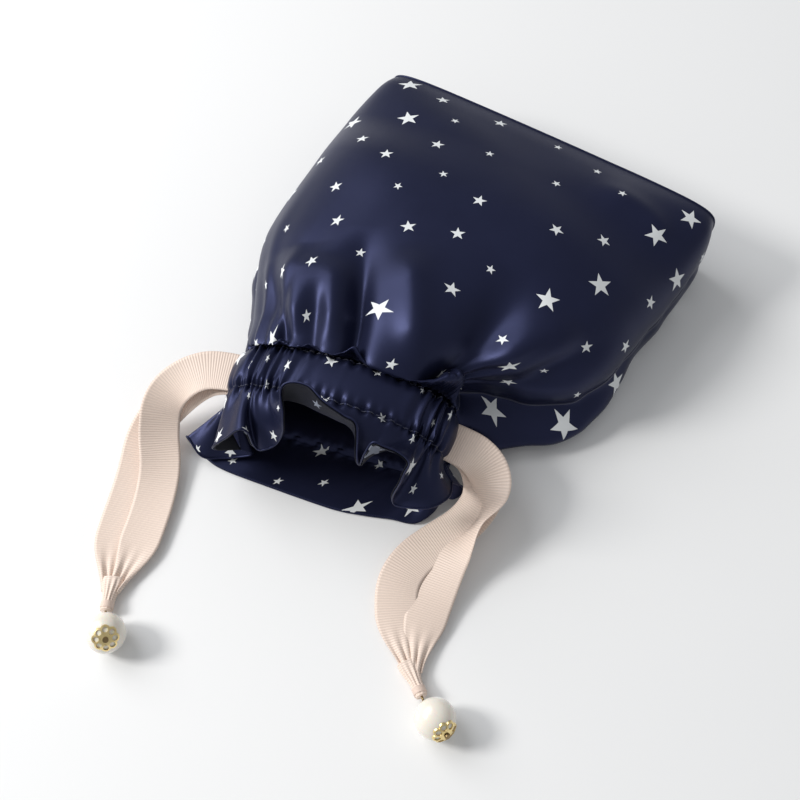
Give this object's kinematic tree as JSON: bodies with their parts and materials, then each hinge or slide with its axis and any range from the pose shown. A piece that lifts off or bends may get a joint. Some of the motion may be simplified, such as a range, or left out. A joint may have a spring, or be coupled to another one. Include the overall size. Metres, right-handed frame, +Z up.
{
  "type": "drawstring gift pouch",
  "caption": "Boxed-bottom satin drawstring gift pouch lying open on its back, with ribbon drawstrings that leave both ends of the casing and end in pearl beads.",
  "frame": {"origin": "on the surface the pouch lies on, under the middle of the pouch's box without its ribbons", "axes": "+Z up from the table, +Y from the mouth towards the base, +X across the pouch to the right when looking from the mouth"},
  "size_m": [0.1724, 0.2626, 0.0545],
  "materials": {
    "satin": "navy satin with a printed scatter of pale five-point stars",
    "satin_inside": "inside of the navy satin, duller",
    "seam_thread": "navy sewing thread and seam edges",
    "ribbon": "blush grosgrain, ribbed across its width",
    "whipping_thread": "blush thread wound tight",
    "pearl": "cream imitation pearl",
    "gilt_metal": "pale gilt, stamped openwork"
  },
  "bodies": {
    "pouch": {"front_panel": "satin", "back_panel": "satin", "base_panel": "satin", "base_seam": "seam_thread", "left_side_seam": "seam_thread", "right_side_seam": "seam_thread", "back_casing": "satin", "back_heading": "satin", "back_facing": "satin_inside", "back_upper_stitching": "seam_thread", "back_lower_stitching": "seam_thread", "back_left_ribbon_run": "ribbon", "back_right_ribbon_run": "ribbon", "left_casing_end": "satin", "right_casing_end": "satin"},
    "mouth_front": {"front_casing": "satin", "front_heading": "satin", "front_facing": "satin_inside", "front_upper_stitching": "seam_thread", "front_lower_stitching": "seam_thread", "front_left_ribbon_run": "ribbon", "front_right_ribbon_run": "ribbon"},
    "left_drawstring": {"left_ribbon_upper_leg": "ribbon", "left_ribbon_lower_leg": "ribbon", "left_ribbon_gather": "ribbon", "left_whipping": "whipping_thread", "left_pin": "gilt_metal"},
    "left_bead": {"left_pearl": "pearl", "left_flower_cap": "gilt_metal"},
    "right_drawstring": {"right_ribbon_upper_leg": "ribbon", "right_ribbon_lower_leg": "ribbon", "right_ribbon_gather": "ribbon", "right_whipping": "whipping_thread", "right_pin": "gilt_metal"},
    "right_bead": {"right_pearl": "pearl", "right_flower_cap": "gilt_metal"}
  },
  "joints": [
    {"name": "left_pull", "type": "slide", "parent": "pouch", "child": "left_drawstring", "axis": [-0.9659, -0.2588, 0], "range_m": [0, 0.01]},
    {"name": "right_pull", "type": "slide", "parent": "pouch", "child": "right_drawstring", "axis": [0.9659, 0.2588, 0], "range_m": [0, 0.01]},
    {"name": "mouth_close", "type": "slide", "parent": "pouch", "child": "mouth_front", "axis": [0, 0, -1], "range_m": [0, 0.015]},
    {"name": "left_bead_spin", "type": "hinge", "parent": "left_drawstring", "child": "left_bead", "pos_m": [-0.02491, -0.1636, 0.007], "axis": [0.5191, -0.3294, 0.7887], "continuous": true},
    {"name": "right_bead_spin", "type": "hinge", "parent": "right_drawstring", "child": "right_bead", "pos_m": [0.08489, -0.12691, 0.007], "axis": [0.8416, -0.4108, 0.3507], "continuous": true}
  ],
  "couplings": [
    {"joint": "right_pull", "follows": "left_pull", "ratio": 1},
    {"joint": "mouth_close", "follows": "left_pull", "ratio": 1.5}
  ]
}
